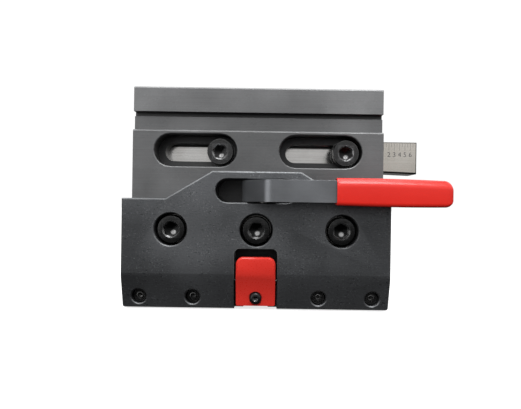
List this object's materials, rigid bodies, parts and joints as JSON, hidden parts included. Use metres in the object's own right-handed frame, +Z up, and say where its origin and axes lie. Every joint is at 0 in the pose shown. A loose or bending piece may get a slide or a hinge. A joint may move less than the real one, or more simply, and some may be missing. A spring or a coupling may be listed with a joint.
{
  "type": "press brake punch quick clamp",
  "caption": "Press brake punch holder with a hook tang, a crowning wedge in long slots, a tilting clamp plate worked by a cam lever, and a safety button.",
  "frame": {"origin": "middle of the holder body's bottom bearing face, on which the punch's shoulder seats", "axes": "+X along the beam towards the lever's grip and the wedge's graduated end, -Y out of the front, +Z up towards the tang"},
  "size_m": [0.1803, 0.0859, 0.13],
  "materials": {
    "machined_oxide": "black oxide over milled and ground steel, semi-gloss",
    "plate_oxide": "black oxide, satin, finely speckled",
    "screw_oxide": "black oxide screw steel, oiled",
    "lever_oxide": "black oxide over smooth drawn bar",
    "ground_steel": "bright ground",
    "hardened_steel": "hardened and ground",
    "spring_steel": "drawn spring wire",
    "red_paint": "red enamel, satin gloss",
    "red_vinyl": "dipped vinyl, soft gloss"
  },
  "bodies": {
    "holder": {"holder_body": "machined_oxide", "cam_pressure_pad": "hardened_steel", "clamp_screw_left": "screw_oxide", "clamp_screw_middle": "screw_oxide", "clamp_screw_right": "screw_oxide", "convex_washer_left": "hardened_steel", "convex_washer_middle": "hardened_steel", "convex_washer_right": "hardened_steel", "alignment_dowel_left": "hardened_steel", "alignment_dowel_right": "hardened_steel", "return_spring_left": "spring_steel", "return_spring_right": "spring_steel"},
    "clamp_plate": {"clamp_plate": "plate_oxide", "conical_seat_left": "hardened_steel", "conical_seat_middle": "hardened_steel", "conical_seat_right": "hardened_steel", "lever_pivot_pin": "hardened_steel", "pivot_pin_grub_screw": "screw_oxide", "button_pivot_pin": "screw_oxide", "button_spring": "spring_steel", "plunger_body_1": "screw_oxide", "plunger_body_2": "screw_oxide", "plunger_body_3": "screw_oxide", "plunger_body_4": "screw_oxide", "plunger_spring_1": "spring_steel", "plunger_spring_2": "spring_steel", "plunger_spring_3": "spring_steel", "plunger_spring_4": "spring_steel"},
    "lever": {"lever_arm": "lever_oxide", "lever_grip": "red_vinyl"},
    "safety_button": {"safety_button": "red_paint", "button_screw": "screw_oxide", "latch_hook": "hardened_steel"},
    "wedge": {"adjusting_wedge": "ground_steel", "wedge_screw_left": "screw_oxide", "wedge_screw_right": "screw_oxide", "wedge_washer_left": "screw_oxide", "wedge_washer_right": "screw_oxide"},
    "plunger_1": {"plunger_pin_1": "hardened_steel"},
    "plunger_2": {"plunger_pin_2": "hardened_steel"},
    "plunger_3": {"plunger_pin_3": "hardened_steel"},
    "plunger_4": {"plunger_pin_4": "hardened_steel"}
  },
  "joints": [
    {"name": "clamp_plate_tilt", "type": "hinge", "parent": "holder", "child": "clamp_plate", "pos_m": [0, -0.04, 0.0455], "axis": [-1, 0, 0], "range_deg": [0, 3], "deforming": ["return_spring_left", "return_spring_right"]},
    {"name": "lever_swing", "type": "hinge", "parent": "clamp_plate", "child": "lever", "pos_m": [0.004, -0.036, 0.0674], "axis": [0, 0, -1], "range_deg": [0, 90]},
    {"name": "safety_button_press", "type": "hinge", "parent": "clamp_plate", "child": "safety_button", "pos_m": [0, -0.0375, 0.0165], "axis": [-1, 0, 0], "range_deg": [0, 12], "stiffness_Nm_per_rad": 0.6, "springref_deg": -11.46, "deforming": ["button_spring"]},
    {"name": "wedge_slide", "type": "slide", "parent": "holder", "child": "wedge", "axis": [0.9994, 0, -0.0333], "range_m": [-0.03, 0]},
    {"name": "plunger_1_press", "type": "slide", "parent": "clamp_plate", "child": "plunger_1", "axis": [0, -1, 0], "range_m": [0, 0.0008], "stiffness_N_per_m": 4000, "springref_m": -0.001, "deforming": ["plunger_spring_1"]},
    {"name": "plunger_2_press", "type": "slide", "parent": "clamp_plate", "child": "plunger_2", "axis": [0, -1, 0], "range_m": [0, 0.0008], "stiffness_N_per_m": 4000, "springref_m": -0.001, "deforming": ["plunger_spring_2"]},
    {"name": "plunger_3_press", "type": "slide", "parent": "clamp_plate", "child": "plunger_3", "axis": [0, -1, 0], "range_m": [0, 0.0008], "stiffness_N_per_m": 4000, "springref_m": -0.001, "deforming": ["plunger_spring_3"]},
    {"name": "plunger_4_press", "type": "slide", "parent": "clamp_plate", "child": "plunger_4", "axis": [0, -1, 0], "range_m": [0, 0.0008], "stiffness_N_per_m": 4000, "springref_m": -0.001, "deforming": ["plunger_spring_4"]}
  ],
  "couplings": [
    {"joint": "clamp_plate_tilt", "follows": "lever_swing", "ratio": 0.033333}
  ]
}
